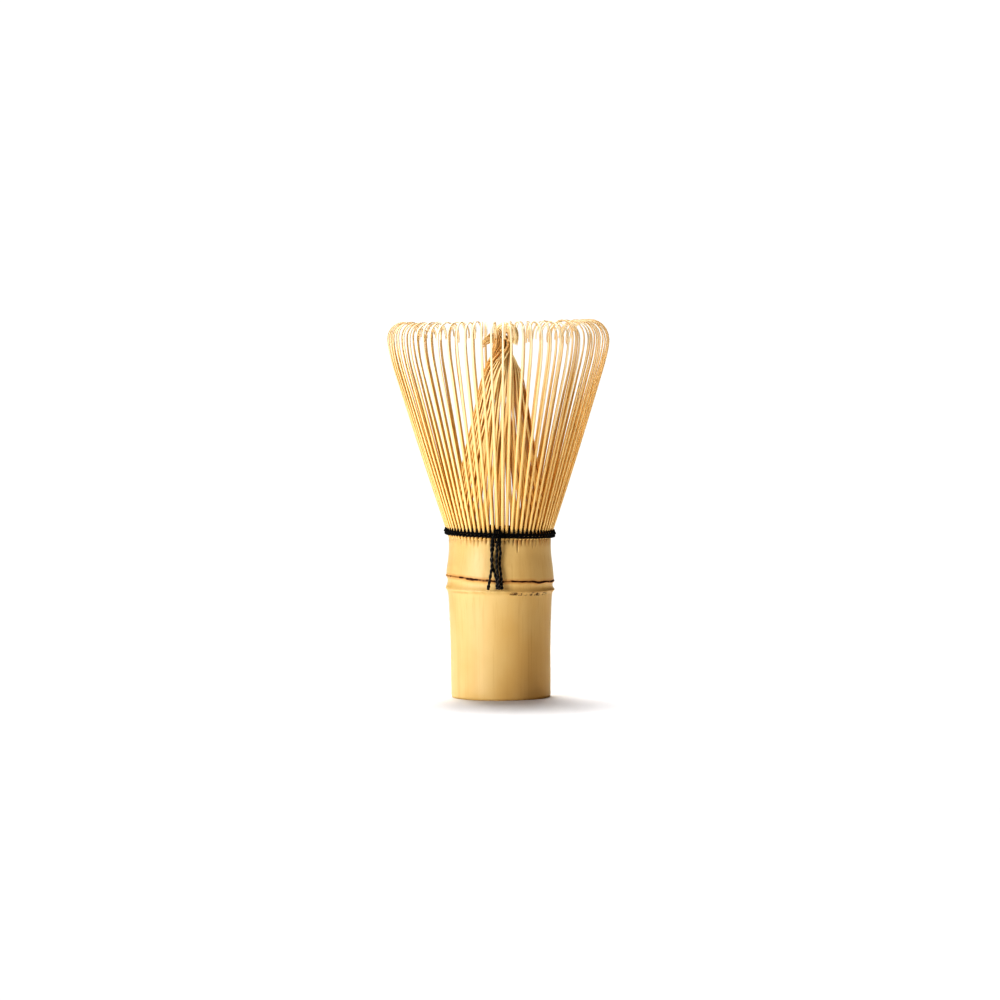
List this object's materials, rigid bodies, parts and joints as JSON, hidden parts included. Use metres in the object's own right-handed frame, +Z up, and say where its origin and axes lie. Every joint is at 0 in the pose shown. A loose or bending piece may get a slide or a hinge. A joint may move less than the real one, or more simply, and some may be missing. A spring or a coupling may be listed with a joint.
{
  "type": "bamboo tea whisk",
  "caption": "Bamboo tea whisk: hollow culm handle with a node ring, spread outer tines with hooked tips, an inner tuft, and a black lacing thread with a knot and hanging ends.",
  "frame": {"origin": "centre of the handle's foot, on the surface that the whisk stands on", "axes": "+Z up along the culm, towards the tines; -Y towards the thread's knot, which is the front"},
  "size_m": [0.0654, 0.0654, 0.1106],
  "materials": {
    "culm_skin": "satin natural bamboo skin",
    "outer_tines": "fine split bamboo, satin",
    "inner_tines": "fine split bamboo, matt",
    "lacing_thread": "twisted cotton thread, matt black"
  },
  "bodies": {
    "culm": {"culm_handle": "culm_skin", "inner_splint_01": "inner_tines", "inner_splint_02": "inner_tines", "inner_splint_03": "inner_tines", "inner_splint_04": "inner_tines", "inner_splint_05": "inner_tines", "inner_splint_06": "inner_tines", "inner_splint_07": "inner_tines", "inner_splint_08": "inner_tines", "inner_splint_09": "inner_tines", "inner_splint_10": "inner_tines", "inner_splint_11": "inner_tines", "inner_splint_12": "inner_tines", "inner_splint_13": "inner_tines", "inner_splint_14": "inner_tines", "inner_splint_15": "inner_tines", "inner_splint_16": "inner_tines", "inner_splint_17": "inner_tines", "inner_splint_18": "inner_tines", "thread_lower_round": "lacing_thread", "thread_upper_round": "lacing_thread", "thread_inner_round": "lacing_thread", "thread_knot": "lacing_thread", "thread_tails_near": "lacing_thread", "thread_tails_far": "lacing_thread"},
    "splint_01": {"outer_splint_01": "outer_tines"},
    "splint_02": {"outer_splint_02": "outer_tines"},
    "splint_03": {"outer_splint_03": "outer_tines"},
    "splint_04": {"outer_splint_04": "outer_tines"},
    "splint_05": {"outer_splint_05": "outer_tines"},
    "splint_06": {"outer_splint_06": "outer_tines"},
    "splint_07": {"outer_splint_07": "outer_tines"},
    "splint_08": {"outer_splint_08": "outer_tines"},
    "splint_09": {"outer_splint_09": "outer_tines"},
    "splint_10": {"outer_splint_10": "outer_tines"},
    "splint_11": {"outer_splint_11": "outer_tines"},
    "splint_12": {"outer_splint_12": "outer_tines"},
    "splint_13": {"outer_splint_13": "outer_tines"},
    "splint_14": {"outer_splint_14": "outer_tines"},
    "splint_15": {"outer_splint_15": "outer_tines"},
    "splint_16": {"outer_splint_16": "outer_tines"},
    "splint_17": {"outer_splint_17": "outer_tines"},
    "splint_18": {"outer_splint_18": "outer_tines"}
  },
  "joints": [
    {"name": "flex_01", "type": "hinge", "parent": "culm", "child": "splint_01", "pos_m": [0.01467, 0.00259, 0.0479], "axis": [-0.1736, 0.9848, 0], "range_deg": [-3, 6], "stiffness_Nm_per_rad": 0.016},
    {"name": "flex_02", "type": "hinge", "parent": "culm", "child": "splint_02", "pos_m": [0.0129, 0.00745, 0.0479], "axis": [-0.5, 0.866, 0], "range_deg": [-3, 6], "stiffness_Nm_per_rad": 0.016},
    {"name": "flex_03", "type": "hinge", "parent": "culm", "child": "splint_03", "pos_m": [0.00958, 0.01141, 0.0479], "axis": [-0.766, 0.6428, 0], "range_deg": [-3, 6], "stiffness_Nm_per_rad": 0.016},
    {"name": "flex_04", "type": "hinge", "parent": "culm", "child": "splint_04", "pos_m": [0.0051, 0.014, 0.0479], "axis": [-0.9397, 0.342, 0], "range_deg": [-3, 6], "stiffness_Nm_per_rad": 0.016},
    {"name": "flex_05", "type": "hinge", "parent": "culm", "child": "splint_05", "pos_m": [0, 0.0149, 0.0479], "axis": [-1, 0, 0], "range_deg": [-3, 6], "stiffness_Nm_per_rad": 0.016},
    {"name": "flex_06", "type": "hinge", "parent": "culm", "child": "splint_06", "pos_m": [-0.0051, 0.014, 0.0479], "axis": [-0.9397, -0.342, 0], "range_deg": [-3, 6], "stiffness_Nm_per_rad": 0.016},
    {"name": "flex_07", "type": "hinge", "parent": "culm", "child": "splint_07", "pos_m": [-0.00958, 0.01141, 0.0479], "axis": [-0.766, -0.6428, 0], "range_deg": [-3, 6], "stiffness_Nm_per_rad": 0.016},
    {"name": "flex_08", "type": "hinge", "parent": "culm", "child": "splint_08", "pos_m": [-0.0129, 0.00745, 0.0479], "axis": [-0.5, -0.866, 0], "range_deg": [-3, 6], "stiffness_Nm_per_rad": 0.016},
    {"name": "flex_09", "type": "hinge", "parent": "culm", "child": "splint_09", "pos_m": [-0.01467, 0.00259, 0.0479], "axis": [-0.1736, -0.9848, 0], "range_deg": [-3, 6], "stiffness_Nm_per_rad": 0.016},
    {"name": "flex_10", "type": "hinge", "parent": "culm", "child": "splint_10", "pos_m": [-0.01467, -0.00259, 0.0479], "axis": [0.1736, -0.9848, 0], "range_deg": [-3, 6], "stiffness_Nm_per_rad": 0.016},
    {"name": "flex_11", "type": "hinge", "parent": "culm", "child": "splint_11", "pos_m": [-0.0129, -0.00745, 0.0479], "axis": [0.5, -0.866, 0], "range_deg": [-3, 6], "stiffness_Nm_per_rad": 0.016},
    {"name": "flex_12", "type": "hinge", "parent": "culm", "child": "splint_12", "pos_m": [-0.00958, -0.01141, 0.0479], "axis": [0.766, -0.6428, 0], "range_deg": [-3, 6], "stiffness_Nm_per_rad": 0.016},
    {"name": "flex_13", "type": "hinge", "parent": "culm", "child": "splint_13", "pos_m": [-0.0051, -0.014, 0.0479], "axis": [0.9397, -0.342, 0], "range_deg": [-3, 6], "stiffness_Nm_per_rad": 0.016},
    {"name": "flex_14", "type": "hinge", "parent": "culm", "child": "splint_14", "pos_m": [0, -0.0149, 0.0479], "axis": [1, 0, 0], "range_deg": [-3, 6], "stiffness_Nm_per_rad": 0.016},
    {"name": "flex_15", "type": "hinge", "parent": "culm", "child": "splint_15", "pos_m": [0.0051, -0.014, 0.0479], "axis": [0.9397, 0.342, 0], "range_deg": [-3, 6], "stiffness_Nm_per_rad": 0.016},
    {"name": "flex_16", "type": "hinge", "parent": "culm", "child": "splint_16", "pos_m": [0.00958, -0.01141, 0.0479], "axis": [0.766, 0.6428, 0], "range_deg": [-3, 6], "stiffness_Nm_per_rad": 0.016},
    {"name": "flex_17", "type": "hinge", "parent": "culm", "child": "splint_17", "pos_m": [0.0129, -0.00745, 0.0479], "axis": [0.5, 0.866, 0], "range_deg": [-3, 6], "stiffness_Nm_per_rad": 0.016},
    {"name": "flex_18", "type": "hinge", "parent": "culm", "child": "splint_18", "pos_m": [0.01467, -0.00259, 0.0479], "axis": [0.1736, 0.9848, 0], "range_deg": [-3, 6], "stiffness_Nm_per_rad": 0.016}
  ]
}
